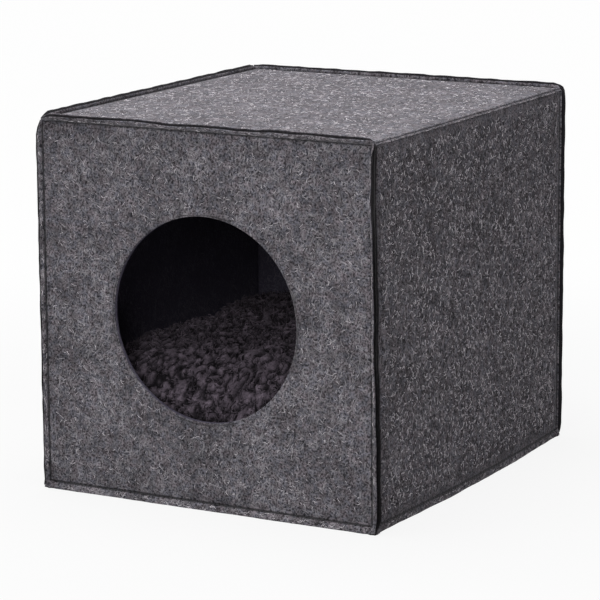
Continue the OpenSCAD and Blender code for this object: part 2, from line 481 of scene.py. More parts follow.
# Round the entrance the lining fills the depth of the board and meets the outer felt
lining_entrance = (
    (0.0008, lining_front),
    (0.0001, lining_front + 0.0005),
    (0.0, lining_front + 0.002),
    (0.0001, -felt_thick - 0.0002),
    (0.0006, -felt_thick - 0.0001),
    (0.0085, -felt_thick - 0.0001),
    (board_edge, lining_back - 0.0003),
)
for side, wall in walls.items():
    form = side + "_inner", wall, lining_rim, lining_step, lining_put, lining_felt
    piece = holed_sheet(*form, lining_entrance) if side == "front" else plain_sheet(*form)
    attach(piece, "house")
    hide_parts(side + "_lining")


# Outer felt. Six panels of charcoal heather needle felt. Along every edge two panels are turned outwards,
# pressed together and sewn, so that their cut lips stand up beyond a stitched groove.
felt_step = 0.005
lip_wide = 0.005
# The felt recovers to this share of its thickness, this far above the stitches
lip_full_share = 1.04
lip_recovers = 0.0036
# How far a lip lies off its seam at the stitches, and how much farther at its cut edge
lip_close, lip_gap = 0.00005, 0.00035
groove_deep = 0.0011
groove_round = 2.2
groove_back = 0.0006
# The shares of the turned face and of the lip that the groove's painted shadow covers
face_shade, lip_shade = 0.32, 0.3
pinched_thick = 0.0009
turn_in = 0.0075
# The felt is pressed a little where it lies on its board
pressed_thick = felt_thick * 0.97
felt_swell = 0.0004
felt_waves = (24, 95, 0.35)
felt_still = 0.004
felt_ease = 0.02
felt_patch_size = 0.035
felt_tints = 140.0
felt_ink = (0.0638, 0.0625, 0.074, 1)
felt_ash = (0.0766, 0.0675, 0.0755, 1)
felt_fleck = (0.22, 0.213, 0.226, 1)
# Black of the felt's backing, which also stands for painted shade in the gap between the lips
felt_backing_shade = (0.010, 0.009, 0.011, 1)
felt_sheen = (0.9, 0.87, 0.92, 1)

# The groove at the foot of a lip, as places on the wall's face and along the lip
groove_out = -groove_deep - pinched_thick * root2
lip_foot = (groove_out - groove_deep) / root2


def lip_thick(along):
    """How thick a lip is at a distance along it."""
    recovered = smooth((along - lip_foot) / lip_recovers)
    return pinched_thick + (lip_full_share * felt_thick - pinched_thick) * recovered


def on_lip(along, off):
    """Profile point at a distance along the lip and off the plane where two lips meet."""
    return (along - off) / root2, (along + off) / root2


def up_lip(share):
    """Distance along the lip at a share of its width above the stitches."""
    return lip_foot + (lip_wide - lip_foot) * share


def into_groove(share):
    """How deep the face dips at a share of its turn towards the groove."""
    return -groove_deep * (1 - share) ** groove_round


# Round the rim, from the outer face into the groove, up the lip, over its cut edge and down its back, with
# painted shade near the groove
face_shares = (1.0, 0.8, 0.62, 0.46, 0.32, 0.2, 0.1, 0.0)
lip_shares = (0.06, 0.16, 0.28, 0.42, 0.58, 0.76, 0.9)
felt_rim = [(groove_out - turn_in * 2, 0.0, 0.0, 0.0)]
# Towards the groove's foot the face and the lip get painted shade
for share in face_shares:
    felt_rim.append((groove_out - turn_in * share, into_groove(share), smooth(1 - share / face_shade), 0.0))
for share in lip_shares:
    along = up_lip(share)
    felt_rim.append((*on_lip(along, lip_thick(along)), smooth(1 - share / lip_shade), 0.0))
# The back half of the cut edge shows the black backing, partly painted shade
for back, off, backing_and_gap_shade in (
    (0.00035, 1.0, 0.0),
    (0.0001, 0.92, 0.0),
    (0.0, 0.75, 0.0),
    (0.0, 0.6, 0.0),
    (0.0, 0.52, 1.0),
    (0.0001, 0.3, 1.0),
    (0.0004, 0.2, 1.0),
):
    felt_rim.append((*on_lip(lip_wide - back, off * felt_thick), 0.0, backing_and_gap_shade))
# Down the lip's back, in the gap between the lips, the black backing paints the shade
for share in (0.75, 0.5, 0.25, 0.0):
    felt_rim.append((*on_lip(up_lip(share), lip_close + lip_gap * share), 0.0, 1.0))
felt_rim.append((groove_out - groove_back, -groove_deep - felt_thick, 0.0, 0.0))
for share in face_shares[-3::-1]:
    felt_rim.append((groove_out - turn_in * share, into_groove(share) - pressed_thick, 0.0, 0.0))
felt_rim.append((groove_out - turn_in * 2, -pressed_thick, 0.0, 0.0))

# Each seam: its lean from the line between its two walls at its low and its high end, in degrees towards the
# wall named first, the share of the lip that either wall keeps, how far the two lips spread apart, and how
# deep the painted shadow in its groove and on its backing is
seam_form = {
    ("front", "top"): (4, 4, 1.0, 1.0, 3, 0.8),
    ("front", "bottom"): (-28, -28, 0.95, 0.95, 2, 1.0),
    ("front", "left"): (0, 0, 0.62, 0.7, 3, 1.0),
    ("front", "right"): (-22, 18, 1.0, 0.95, 8, 1.0),
    ("back", "top"): (-32, -32, 0.85, 0.4, 3, 1.0),
    ("back", "bottom"): (-28, -28, 0.95, 0.95, 2, 1.0),
    ("back", "left"): (0, 4, 0.8, 0.8, 4, 1.0),
    ("back", "right"): (-28, -32, 0.8, 0.25, 3, 1.0),
    ("top", "left"): (32, 32, 0.4, 0.85, 3, 1.0),
    ("top", "right"): (0, 0, 0.12, 0.12, 0, 0.1),
    ("bottom", "left"): (28, 28, 0.95, 0.95, 2, 1.0),
    ("bottom", "right"): (42, 42, 0.95, 0.95, 2, 1.0),
}
# At a corner of the cube, the share of the lips that is trimmed off and how far along them the trim runs
corner_trim = {
    ("front", "left", "top"): (0.9, 0.018),
    ("back", "left", "top"): (0.0, 0.009),
    ("back", "right", "top"): (0.35, 0.009),
    ("bottom", "front", "left"): (0.12, 0.009),
    ("bottom", "front", "right"): (0.1, 0.009),
}
usual_trim = (0.3, 0.009)
# The one lip that lies in shadow, and how much painted shade it gets
shadowed_lip = ("right", "front")
lip_shadow = 0.8
# How far a lip wavers, in degrees, and how ragged its cut is, both with their waves to the metre
lean_waver, lean_waves = 8, (22, 60, 0.6)
ragged_share, ragged_waves = 0.09, 90
# Near the end of a seam its lips come back to the line between the walls
lean_ease = 0.01
# Two edges that are as near as this both count at a corner
corner_slack = 1e-7
facing = {tuple(wall.out): side for side, wall in walls.items()}
for side, wall in walls.items():
    wall.side = side


def seam_at(own, other, spot):
    """A wall's lip at a spot on its seam: its turn to that wall, the share kept and the depth of its painted
    shadow.
    """
    first = (own, other) in seam_form
    form = seam_form[(own, other) if first else (other, own)]
    low, high, share_first, share_second, splay, shade = form
    axis = walls[own].out.cross(walls[other].out)
    axis = Vector((abs(axis.x), abs(axis.y), abs(axis.z)))
    along = (spot - middle).dot(axis)
    half = half_size.dot(axis)
    names = sorted(walls)
    seed = 11.0 * names.index(min(own, other)) + 3.0 * names.index(max(own, other))
    broad, fine, fine_share = lean_waves
    waver = noise.noise(Vector((along * broad, seed, 0.5)))
    waver += fine_share * noise.noise(Vector((along * fine, seed, 4.5)))
    lean = low + (high - low) * smooth((along / half + 1) / 2) + lean_waver * waver
    ease = smooth((half - abs(along)) / lean_ease)
    turn = math.radians((lean if first else -lean) + splay) * ease
    ragged = ragged_share * noise.noise(Vector((along * ragged_waves, seed, 8.5 if first else 2.5)))
    return turn, (share_first if first else share_second) * (1 + ragged), shade


# The right wall is pushed out a little by its cushion, most of all half way along its foot
foot_push = 0.0055
# The share of the push that is lost by the top, and how far across the cube the push begins
push_fade, push_from = 0.8, 0.2


def settled(spot):
    """Where a point of the outer felt comes to rest."""
    deep = 1 - (spot.y / half_size.y) ** 2
    high = 1 - push_fade * smooth(spot.z / (2 * half_size.z))
    across = smooth((spot.x / half_size.x - push_from) / (1 - push_from))
    push = foot_push * max(0.0, deep) * high * across
    return Vector((spot.x + push, spot.y, max(spot.z, 0.0)))


def felt_put(wall, u, v, n):
    """A point of an outer panel, from its place on the wall and its height above the wall's face."""
    over_u, over_v = abs(u) - wall.half_across, abs(v) - wall.half_up
    out = max(over_u, over_v)
    reach = (out + n) / root2 - lip_foot
    on_u, on_v = over_u > out - corner_slack, over_v > out - corner_slack
    side_u, side_v = math.copysign(1, u), math.copysign(1, v)
    edges = []
    if reach > 0:
        rough = wall.centre + wall.across * u + wall.up * v
        for on_edge, toward in ((on_u, wall.across * side_u), (on_v, wall.up * side_v)):
            if on_edge:
                edges.append((toward, *seam_at(wall.side, facing[tuple(toward)], rough)))
        kept = sum(share for toward, turn, share, shade in edges) / len(edges)
        beside, beyond = facing[tuple(wall.across * side_u)], facing[tuple(wall.up * side_v)]
        trimmed, trim_run = corner_trim.get(tuple(sorted((wall.side, beside, beyond))), usual_trim)
        kept *= 1 - trimmed * (1 - smooth(abs(over_u - over_v) / trim_run))
        trim = reach * (1 - kept) / root2
        reach *= kept
        u -= side_u * trim * on_u
        v -= side_v * trim * on_v
        n -= trim
    spot = wall.centre + wall.across * u + wall.up * v
    wave = waves(spot, *felt_waves)
    spot += wall.out * (n + felt_swell * wave * smooth((-out - felt_still) / felt_ease))
    for toward, turn, share, shade in edges:
        lip, across_lip = (wall.out + toward) / root2, (wall.out - toward) / root2
        spot += reach * (math.sin(turn) * across_lip + (math.cos(turn) - 1) * lip) / len(edges)
    return settled(spot)


def shade_grooves(piece, wall):
    """Lightens the painted shadow and backing in a seam where the felt is less pinched, and paints shade on
    the one lip in shadow.
    """
    marks = piece.data.attributes
    for vertex, crease, backing_and_gap_shade in zip(piece.data.vertices, marks["crease"].data, marks["backing_and_gap_shade"].data):
        spot = vertex.co - wall.centre
        reach_u, reach_v = spot.dot(wall.across), spot.dot(wall.up)
        left_u, left_v = wall.half_across - abs(reach_u), wall.half_up - abs(reach_v)
        way_u, way_v = wall.across * math.copysign(1, reach_u), wall.up * math.copysign(1, reach_v)
        other = facing[tuple(way_u if left_u < left_v else way_v)]
        # Painted groove shade and backing follow the seam's depth of shadow
        if crease.value > 0 or backing_and_gap_shade.value > 0:
            shade = seam_at(wall.side, other, vertex.co)[2]
            crease.value *= shade
            backing_and_gap_shade.value *= shade
        # The one lip in shadow gets painted shade
        if (wall.side, other) == shadowed_lip and min(left_u, left_v) < -groove_out:
            crease.value = max(crease.value, lip_shadow)


@material
def outer_felt(tree):
    """Charcoal ground of two tints with grain, tufts, pale fibres and slow drift, with painted shade in its
    grooves and black backing that also paints shade.
    """
    where = on_piece(tree)
    felt = place(tree, "Group", {"Where": where}, node_tree=matted_fibres).outputs
    drift = drifting(tree, where, felt_patch_size, 0.86, 1.16)
    tint = cloudy(tree, where, felt_tints, 1.0)
    grain = ranged(tree, felt["Grain"], 0.32, 0.68, 0.2, 2.0)
    tuft = spread(tree, felt["Tuft"], 0.72, 1.3)
    ground = mixed(tree, ranged(tree, tint, 0.4, 0.6, 0.0, 1.0), felt_ink, felt_ash)
    ground = times(tree, times(tree, ground, grain), tuft)
    colour = mixed(tree, felt["Fibre"], ground, times(tree, felt_fleck, tuft))
    # Black backing, partly painted shade between the lips
    colour = mixed(tree, marked(tree, "backing_and_gap_shade"), times(tree, colour, drift), felt_backing_shade)
    # Painted shade in the grooves
    shade = ranged(tree, marked(tree, "crease"), 0.0, 1.0, 1.0, 0.22)
    return {
        "Base Color": times(tree, colour, shade),
        "Roughness": spread(tree, felt["Grain"], 1.0, 0.85),
        "Normal": bumped(tree, sums(tree, "ADD", felt["Fibre"], felt["Grain"]), 0.6, 0.0004),
        "Specular IOR Level": 0.12,
        "Sheen Weight": 0.12,
        "Sheen Roughness": 0.4,
        "Sheen Tint": felt_sheen,
    }


# Round the entrance, from the board's side out: how far back and how high the cut edge runs
entrance_edge = (
    (0.0006, -pressed_thick),
    (0.0001, -felt_thick * 0.85),
    (0.0, -felt_thick * 0.5),
    (0.0001, -felt_thick * 0.2),
    (0.0005, -felt_thick * 0.03),
    (0.0015, 0.0),
)
for side, wall in walls.items():
    form = side + "_panel", wall, felt_rim, felt_step, felt_put, outer_felt
    piece = holed_sheet(*form, entrance_edge) if side == "front" else plain_sheet(*form)
    shade_grooves(piece, wall)
    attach(piece, "house")
    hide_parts(side + "_felt")


# Loose fibres. Pale ends of the heather felt that lie curled on its outer faces, each a thin closed thread.
# On the two sides some dark ones paint specks of shade, and on the sides and the top the pale ones are made
# brighter as painted glints. None are on the bottom, where the cube's weight rubs them off.
loose_long = (0.0012, 0.0045)
loose_curve = 1.2
loose_arch = (0.0001, 0.0008)
loose_r = (0.00012, 0.00019)
loose_shade_r = 0.00028
loose_rings = 3
loose_sides = 3
loose_margin = 0.011
# For each panel: fibres on a square metre, how bright they get as painted glints, how few are bright and the
# share of dark ones that paint specks of shade
loose_on = {
    "front": (60000, 1.0, 1.6, 0.0),
    "back": (60000, 1.0, 1.6, 0.0),
    "left": (80000, 1.5, 1.8, 0.2),
    "right": (110000, 2.4, 1.8, 0.36),
    "top": (60000, 1.3, 2.2, 0.0),
}
# On the lips: fibres on a metre, how few are bright, where they lie on the lip and how far they wander there
loose_per_lip = 600
loose_lip_few = 1.4
loose_lip_share = (0.35, 0.95)
loose_lip_top = 0.97
loose_lip_wander = 0.15
loose_lip_end = 0.014
bare_lips = (("right", "front"), ("right", "back"), ("top", "back"), ("top", "left"))
loose_wear = 900.0
# Colour of the dark fibres, which is painted shade, and of the pale ones
loose_shade_dark = (0.016, 0.013, 0.016, 1)
loose_pale = (0.80, 0.76, 0.80, 1)
# A pale fibre is marked from 0 to 1, and a dark one, which paints shade, with this
loose_shade_mark = -0.14
dice = random.Random(5)


@material
def loose_fibre(tree):
    """Plain dull fibre, from dark to pale by its mark; the dark ones paint shade."""
    worn = cloudy(tree, on_piece(tree), loose_wear, 1.0)
    marks = {"Value": marked(tree, "pale"), "From Min": loose_shade_mark, "From Max": 1.0}
    colour = mixed(tree, place(tree, "MapRange", marks).outputs[0], loose_shade_dark, loose_pale)
    return {
        "Base Color": times(tree, colour, spread(tree, worn, 0.7, 1.2)),
        "Roughness": spread(tree, worn, 0.9, 0.7),
    }


def thread_rings(spots, out, r, sides):
    """Points in rings round a line of spots that lies more or less along a face."""
    points = []
    for k, spot in enumerate(spots):
        forward = (spots[min(k + 1, len(spots) - 1)] - spots[max(k - 1, 0)]).normalized()
        side = forward.cross(out).normalized()
        third = side.cross(forward)
        for step in range(sides):
            turn = 2 * math.pi * step / sides
            points.append(spot + (side * math.cos(turn) + third * math.sin(turn)) * r)
    return points


def tube_faces(start, rings, sides):
    """Faces of a closed tube whose points come ring by ring from a start number."""
    numbers = [[start + k * sides + step for step in range(sides)] for k in range(rings)]
    faces = [face for first, second in zip(numbers, numbers[1:]) for face in band(first, second)]
    return faces + [numbers[0], numbers[-1][::-1]]


def thread_piece(name, threads, sides, look, mark_name):
    """A piece of closed threads, each a line of spots, the way out, a radius and a mark for each spot."""
    points, faces, marks = [], [], []
    for spots, out, r, values in threads:
        faces += tube_faces(len(points), len(spots), sides)
        points += thread_rings(spots, out, r, sides)
        marks += [value for value in values for step in range(sides)]
    piece = new_piece(name, points, faces, look)
    mark(piece, mark_name, marks)
    return piece


def edge_of(wall, toward):
    """An edge of a wall: whether it lies across or up, on which side, how far off, and half its length."""
    on_u = abs(toward.dot(wall.across)) > 0.5
    sign = toward.dot(wall.across if on_u else wall.up)
    halves = wall.half_across, wall.half_up
    return (on_u, sign, *(halves if on_u else halves[::-1]))


def fibre_r(pale):
    """A paler fibre is thicker."""
    return loose_r[0] + (loose_r[1] - loose_r[0]) * pale


def fibre_line(wall, u, v):
    """The line of one curled fibre from its middle on a wall."""
    long = dice.uniform(*loose_long)
    turn = dice.uniform(0, 2 * math.pi)
    curve, hook = dice.uniform(-loose_curve, loose_curve), dice.uniform(-loose_curve, loose_curve)
    arch = dice.uniform(*loose_arch)
    spots = []
    for k in range(loose_rings):
        share = k / (loose_rings - 1) - 0.5
        along, aside = long * share, long * (curve * share**2 + 2 * hook * share**3)
        high = loose_r[0] + arch * math.cos(math.pi * share)
        spots.append(felt_put(
            wall,
            u + along * math.cos(turn) - aside * math.sin(turn),
            v + along * math.sin(turn) + aside * math.cos(turn),
            high,
        ))
    return spots


def lip_fibre_line(wall, toward, r):
    """The line of one fibre that lies along a lip of a wall."""
    on_u, sign, reach, run = edge_of(wall, toward)
    start = dice.uniform(-1, 1) * (run - loose_lip_end)
    long = dice.uniform(*loose_long)
    lies_at = [dice.uniform(*loose_lip_share)]
    for k in range(1, loose_rings):
        lies_at.append(lies_at[0] + dice.uniform(-loose_lip_wander, loose_lip_wander) * k)
    spots = []
    for k, share in enumerate(lies_at):
        along = up_lip(min(loose_lip_top, share))
        out, high = on_lip(along, lip_thick(along) + r)
        edge, run_at = sign * (reach + out), start + long * k / (loose_rings - 1)
        spot = felt_put(wall, *((edge, run_at) if on_u else (run_at, edge)), high)
        spots.append(Vector((spot.x, spot.y, max(spot.z, r))))
    return spots


for side, (per_area, glint_bright, few, shade_share) in loose_on.items():
    wall = walls[side]
    reach_u, reach_v = wall.half_across - loose_margin, wall.half_up - loose_margin
    fibres = []
    for number in range(round(4 * reach_u * reach_v * per_area)):
        u, v = dice.uniform(-reach_u, reach_u), dice.uniform(-reach_v, reach_v)
        if side == "front" and math.hypot(u, v - entrance_up) < entrance_r + loose_long[1]:
            continue
        # On the sides and the top pale fibres are brighter as painted glints
        pale = min(1.0, glint_bright * dice.random() ** few)
        r = fibre_r(pale)
        # Some fibres on the two sides are dark, painted specks of shade
        if dice.random() < shade_share:
            pale, r = loose_shade_mark, loose_shade_r
        fibres.append((fibre_line(wall, u, v), wall.out, r, [pale] * loose_rings))
    for toward in (wall.across, -wall.across, wall.up, -wall.up):
        if (side, facing[tuple(toward)]) in bare_lips:
            continue
        run = edge_of(wall, toward)[3]
        for number in range(round(2 * run * loose_per_lip)):
            pale = dice.random() ** loose_lip_few
            r = fibre_r(pale)
            across_lip = (wall.out - toward) / root2
            fibres.append((lip_fibre_line(wall, toward, r), across_lip, r, [pale] * loose_rings))
    piece = thread_piece(side + "_fibres", fibres, loose_sides, loose_fibre, "pale")
    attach(piece, "house")


# Seam threads. Black polyester thread in a row of lock stitches on either lip of each of the twelve seams,
# half sunk in the groove that it pulls into the felt.
stitch_pitch = 0.0042
stitch_gap = 0.0005
stitch_r = 0.00042
stitch_above = 0.0003
stitch_proud = 0.00015
thread_short = 0.009
stitch_sides = 6
# Along a stitch, and how thick it is there
stitch_form = ((0.0, 0.35), (0.12, 0.85), (0.5, 1.0), (0.88, 0.85), (1.0, 0.35))
thread_plies = 2600.0
thread_black = (0.008, 0.008, 0.009, 1)
thread_worn = (0.03, 0.03, 0.034, 1)


@material
def seam_thread(tree):
    """Black thread, worn paler on top of its plies."""
    ply = cloudy(tree, on_piece(tree), thread_plies, 2.0)
    return {
        "Base Color": mixed(tree, ranged(tree, ply, 0.4, 0.65, 0.0, 1.0), thread_black, thread_worn),
        "Roughness": spread(tree, ply, 0.55, 0.8),
        "Normal": bumped(tree, ply, 0.4, 0.0001),
    }


stitch_along = lip_foot + stitch_above
stitch_out, stitch_high = on_lip(stitch_along, lip_thick(stitch_along) + stitch_proud)


def stitch_row(wall, toward):
    """Points and faces of the stitches along the edge of a wall that faces the next wall."""
    on_u, sign, reach, run = edge_of(wall, toward)
    reach, run = reach + stitch_out, run - thread_short
    count = round(2 * run / stitch_pitch)
    pitch = 2 * run / count
    points, faces = [], []
    for k in range(count):
        faces += tube_faces(len(points), len(stitch_form), stitch_sides)
        for share, fat in stitch_form:
            along = -run + pitch * k + stitch_gap / 2 + (pitch - stitch_gap) * share
            u, v = (sign * reach, along) if on_u else (along, sign * reach)
            spot = felt_put(wall, u, v, stitch_high)
            spot.z = max(spot.z, stitch_r)
            for step in range(stitch_sides):
                turn = 2 * math.pi * step / stitch_sides
                offset = (wall.out * math.cos(turn) + toward * math.sin(turn)) * stitch_r * fat
                points.append(spot + offset)
    return points, faces


for node_name in sorted(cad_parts):
    if not node_name.endswith("_thread"):
        continue
    first, second = node_name.split("_")[:2]
    points, faces = stitch_row(walls[first], walls[second].out)
    more_points, more_faces = stitch_row(walls[second], walls[first].out)
    faces += [[number + len(points) for number in face] for face in more_faces]
    piece = new_piece(node_name.replace("_thread", "_stitches"), points + more_points, faces, seam_thread)
    cleaned = bmesh.new()
    cleaned.from_mesh(piece.data)
    bmesh.ops.recalc_face_normals(cleaned, faces=cleaned.faces)
    cleaned.to_mesh(piece.data)
    cleaned.free()
    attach(piece, "house")
    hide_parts(node_name)


# Cushion. A loose stuffed cushion on the floor of the den, in a cover of black plush. Its skin starts as a
# slightly small pillow that is blown up as cloth. Then its seam is pulled in and its underside lies flat.
cushion_gap = 0.006
# How far its sides are drawn in, how square its corners and its crown are, and how far its underside curls in
side_draw = 0.007
corner_power = 6
crown_power = 0.3
foot_curl = 0.022
# The share of its size that it starts with, its mesh, and how far it can puff up
start_share = 0.975
skin_voxel = 0.0075
skin_puff = 0.008
fill_pressure = 4
fill_steps = 20
seam_pull = 0.003
seam_band = 0.007
base_thick = 0.0014
plush_strands = 700.0
# Dark roots with painted shade in the creases, and the plush's paler tips
plush_root_shade = (0.006, 0.005, 0.0065, 1)
plush_tip = (0.125, 0.103, 0.127, 1)
plush_sheen = (0.9, 0.8, 0.92, 1)
wall_thick = felt_thick + board_thick + lining_thick
pillow_x = half_size.x - wall_thick - cushion_gap
pillow_y = half_size.y - wall_thick - cushion_gap
pillow_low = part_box("cushion_base")[0].z
pillow_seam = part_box("cushion_plush")[0].z
pillow_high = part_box("cushion_plush")[1].z


def pillow_ring(inset, share, high, count=96):
    """Points once round the cushion: a rounded oblong whose sides are drawn in between its corners."""
    ring = []
    for i in range(count):
        turn = 2 * math.pi * i / count
        square = (abs(math.cos(turn)) / (pillow_x - inset)) ** corner_power
        square += (abs(math.sin(turn)) / (pillow_y - inset)) ** corner_power
        far = share * start_share * (square ** (-1 / corner_power) - side_draw * math.cos(2 * turn) ** 2)
        ring.append((far * math.cos(turn), far * math.sin(turn), high))
    return ring


def pillow_rings(steps=12):
    """Rings from the flat of the underside out to the seam and in again over the crown."""
    rings = []
    for i in range(steps):
        turn = math.pi / 2 * (1 - i / steps)
        drop = (pillow_seam - pillow_low) * math.sin(turn)
        rings.append(pillow_ring(foot_curl * (1 - math.cos(turn)), 1.0, pillow_seam - drop))
    for i in range(2 * steps):
        turn = math.pi / 2 * i / (2 * steps)
        rise = (pillow_high - pillow_seam) * start_share * math.sin(turn) ** crown_power
        rings.append(pillow_ring(0.0, math.cos(turn) ** crown_power, pillow_seam + rise))
    return rings


def keep_shape(piece):
    """Makes what a piece's modifiers show its own mesh and takes them off."""
    graph = bpy.context.evaluated_depsgraph_get()
    piece.data = bpy.data.meshes.new_from_object(piece.evaluated_get(graph))
    piece.modifiers.clear()


def make_finer(piece):
    """One step of subdivision."""
    piece.modifiers.new("finer", "SUBSURF").levels = 1
    keep_shape(piece)


def blow_up(piece):
    """Fills a closed skin by pressure as cloth, and holds every point within reach of where it started."""
    starts = [vertex.co.copy() for vertex in piece.data.vertices]
    cloth = piece.modifiers.new("filling", "CLOTH")
    cloth.settings.use_pressure = True
    cloth.settings.uniform_pressure_force = fill_pressure
    cloth.settings.effector_weights.gravity = 0
    cloth.collision_settings.use_collision = False
    for step in range(1, fill_steps + 1):
        bpy.context.scene.frame_set(step)
    keep_shape(piece)
    bpy.context.scene.frame_set(1)
    for vertex, start in zip(piece.data.vertices, starts):
        push = vertex.co - start
        vertex.co = start + push.normalized() * skin_puff * math.tanh(push.length / skin_puff)


def cushion_skin(name, look):
    """The closed skin of the stuffed cushion, with its pulled seam and its flat underside."""
    rings = pillow_rings()
    count = len(rings[0])
    numbers = [list(range(k * count, (k + 1) * count)) for k in range(len(rings))]
    faces = [numbers[0], numbers[-1][::-1]]
    for first, second in zip(numbers, numbers[1:]):
        faces += band(first, second)
    piece = new_piece(name, [spot for ring in rings for spot in ring], [face[::-1] for face in faces], look)
    coarse = piece.modifiers.new("even_mesh", "REMESH")
    coarse.mode = "VOXEL"
    coarse.voxel_size = skin_voxel
    keep_shape(piece)
    blow_up(piece)
    make_finer(piece)
    for vertex in piece.data.vertices:
        pull = seam_pull * smooth(1 - abs(vertex.co.z - pillow_seam) / seam_band)
        inward = Vector((-vertex.co.x, -vertex.co.y, 0)).normalized()
        vertex.co += inward * pull
        vertex.co.z = max(vertex.co.z, pillow_low)
    piece.data.update()
    shade_smooth(piece)
    return piece


@material
def curly_plush(tree):
    """Black plush, with dark roots and painted shade in its creases, and paler on top of its tufts."""
    strand = cloudy(tree, on_piece(tree), plush_strands, 3.0)
    # The mark carries dark roots and painted shade in the creases
    tip = ranged(tree, marked(tree, "tip"), 0.0, 1.0, 0.0, 1.0)
    colour = mixed(tree, tip, plush_root_shade, plush_tip)
    return {
        "Base Color": times(tree, colour, spread(tree, strand, 0.7, 1.3)),
        "Roughness": spread(tree, strand, 1.0, 0.85),
        "Normal": bumped(tree, strand, 0.5, 0.0005),
        "Specular IOR Level": 0.1,
        "Sheen Weight": 0.06,
        "Sheen Roughness": 0.5,
        "Sheen Tint": plush_sheen,
    }


skin = cushion_skin("cushion_pad", curly_plush)
# The base is cut from the skin as it is now, before the plush is raised on it
cut_skin = skin.data.copy()
make_finer(skin)

# The plush stands up in soft curled tufts with creases between them, which get dark roots and painted shade,
# and its cover ends at the seam.
# Tufts and curls have their sizes, and bend this far, so many times to the metre.
tuft_wide = 0.0095
tuft_high = (0.0032, 0.0060)
tuft_warp, tuft_bends = 0.006, 75
curl_size = (0.0062, 0.0115, 0.0105)
curl_warp, curl_bends = 0.004, 110
# How wide a crease is beside a tuft and beside a curl, how flat a tuft is, the share of curls in the height,
# and the level that stays as it was
tuft_crease, curl_crease = 0.55, 0.3
tuft_flat = 0.65
curl_share = 0.6
tuft_level = 0.4
# How pale the plush is on top, and how fast it darkens down to its creases with painted shade
top_tone, tone_fall = 0.9, 1.5
plush_ends = 0.006
# Below the seam the cushion is drawn in by this, to leave room for its base
base_room = base_thick * 1.2
tuft_seed = 7
noise.seed_set(tuft_seed)


def tuft_at(spot):
    """Height of the tufts at a spot, and a mark of painted shade that goes from 0 in a crease to 1 on top of
    a tuft.
    """
    bent = spot + noise.noise_vector(spot * tuft_bends) * tuft_warp
    (first, second, *others), (cell, *others) = noise.voronoi(bent / tuft_wide)
    tuft = tuft_flat * smooth((second - first) / tuft_crease) + (1 - tuft_flat) * max(0.0, 1 - first**2)
    tall = tuft_high[0] + (tuft_high[1] - tuft_high[0]) * (0.5 + 0.5 * noise.cell(cell * 7.3))
    swirl = spot + noise.noise_vector(spot * curl_bends) * curl_warp
    fold = noise.noise(Vector([swirl[axis] / curl_size[axis] for axis in range(3)]))
    top = (1 - curl_share) * tuft + curl_share * smooth(abs(fold) / curl_crease)
    return tall * (top - tuft_level), top_tone * top**tone_fall


tips = []
normals = [vertex.normal.copy() for vertex in skin.data.vertices]
for vertex, normal in zip(skin.data.vertices, normals):
    above = smooth((vertex.co.z - pillow_seam) / plush_ends)
    high, top = tuft_at(vertex.co)
    # The mark of painted shade, full below the seam
    tips.append(max(0.0, top) * above)
    vertex.co += normal * (high * above - base_room * (1 - above))
mark(skin, "tip", tips)
skin.data.update()
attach(skin, "cushion")
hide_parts("cushion_plush", "cushion_filling")


# Pile of the plush. Short soft strands that stand on the tufts and lie over in swirls. Each is a thin
# closed thread, pressed back where it meets a wall.
strand_count = 14000
strand_long = (0.0030, 0.0060)
strand_fat = 0.00045
# Along a strand from its root: how far it lies over, how high it stands and its share of the tuft's tone,
# darker at the root, partly painted shade
strand_form = ((0.0, -0.1, 0.7), (0.45, 0.42, 0.85), (0.9, 0.45, 0.95))
strand_sides = 3
strand_swirls = 90
strand_stray = 0.25
strand_aside = 0.4
strand_start = 0.004
pile_clear = 0.0015
pile_x = half_size.x - wall_thick - pile_clear
pile_y = half_size.y - wall_thick - pile_clear
dice = random.Random(11)


def within(value, limit):
    """A value held on both sides of zero."""
    return max(-limit, min(limit, value))


def plush_strand(root, normal):
    """The line of one strand from its root."""
    stray = Vector([dice.uniform(-strand_stray, strand_stray) for axis in range(3)])
    swirl = noise.noise_vector(root * strand_swirls) + stray
    over = (swirl - normal * swirl.dot(normal)).normalized()
    aside = normal.cross(over) * dice.uniform(-strand_aside, strand_aside)
    long = dice.uniform(*strand_long)
    spots = []
    for share, rise, tone in strand_form:
        spot = root + (over * share + aside * share**2 + normal * rise) * long
        spots.append(Vector((within(spot.x, pile_x), within(spot.y, pile_y), spot.z)))
    return spots


strands = []
marks = skin.data.attributes["tip"].data
plush_faces = [face for face in skin.data.polygons if face.center.z > pillow_seam + strand_start]
for face in dice.choices(plush_faces, weights=[face.area for face in plush_faces], k=strand_count):
    top = marks[face.vertices[0]].value
    # Each strand takes the painted shading of its tuft
    tones = [top * tone for share, rise, tone in strand_form]
    strands.append((plush_strand(face.center, face.normal), face.normal, strand_fat, tones))
pile = thread_piece("cushion_pile", strands, strand_sides, curly_plush, "tip")
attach(pile, "cushion")


# Cushion base. Plain dark woven cloth that closes the cushion below its seam and lies on the floor of the
# den. It is cut from the same skin, stretched over the filling and sewn to the plush along the seam.
weave_apart = 0.0018
# On a level face the crests of a diagonal wave of scale 1 lie this far apart
wave_apart = 0.44
# The ways that its threads run
weave_lays = ((1, 1, 1), (1, -1, 1), (1, 1, -1))
# The dark colour is painted shade on the lower threads
base_under_shade = (0.012, 0.012, 0.014, 1)
base_pale = (0.045, 0.045, 0.05, 1)


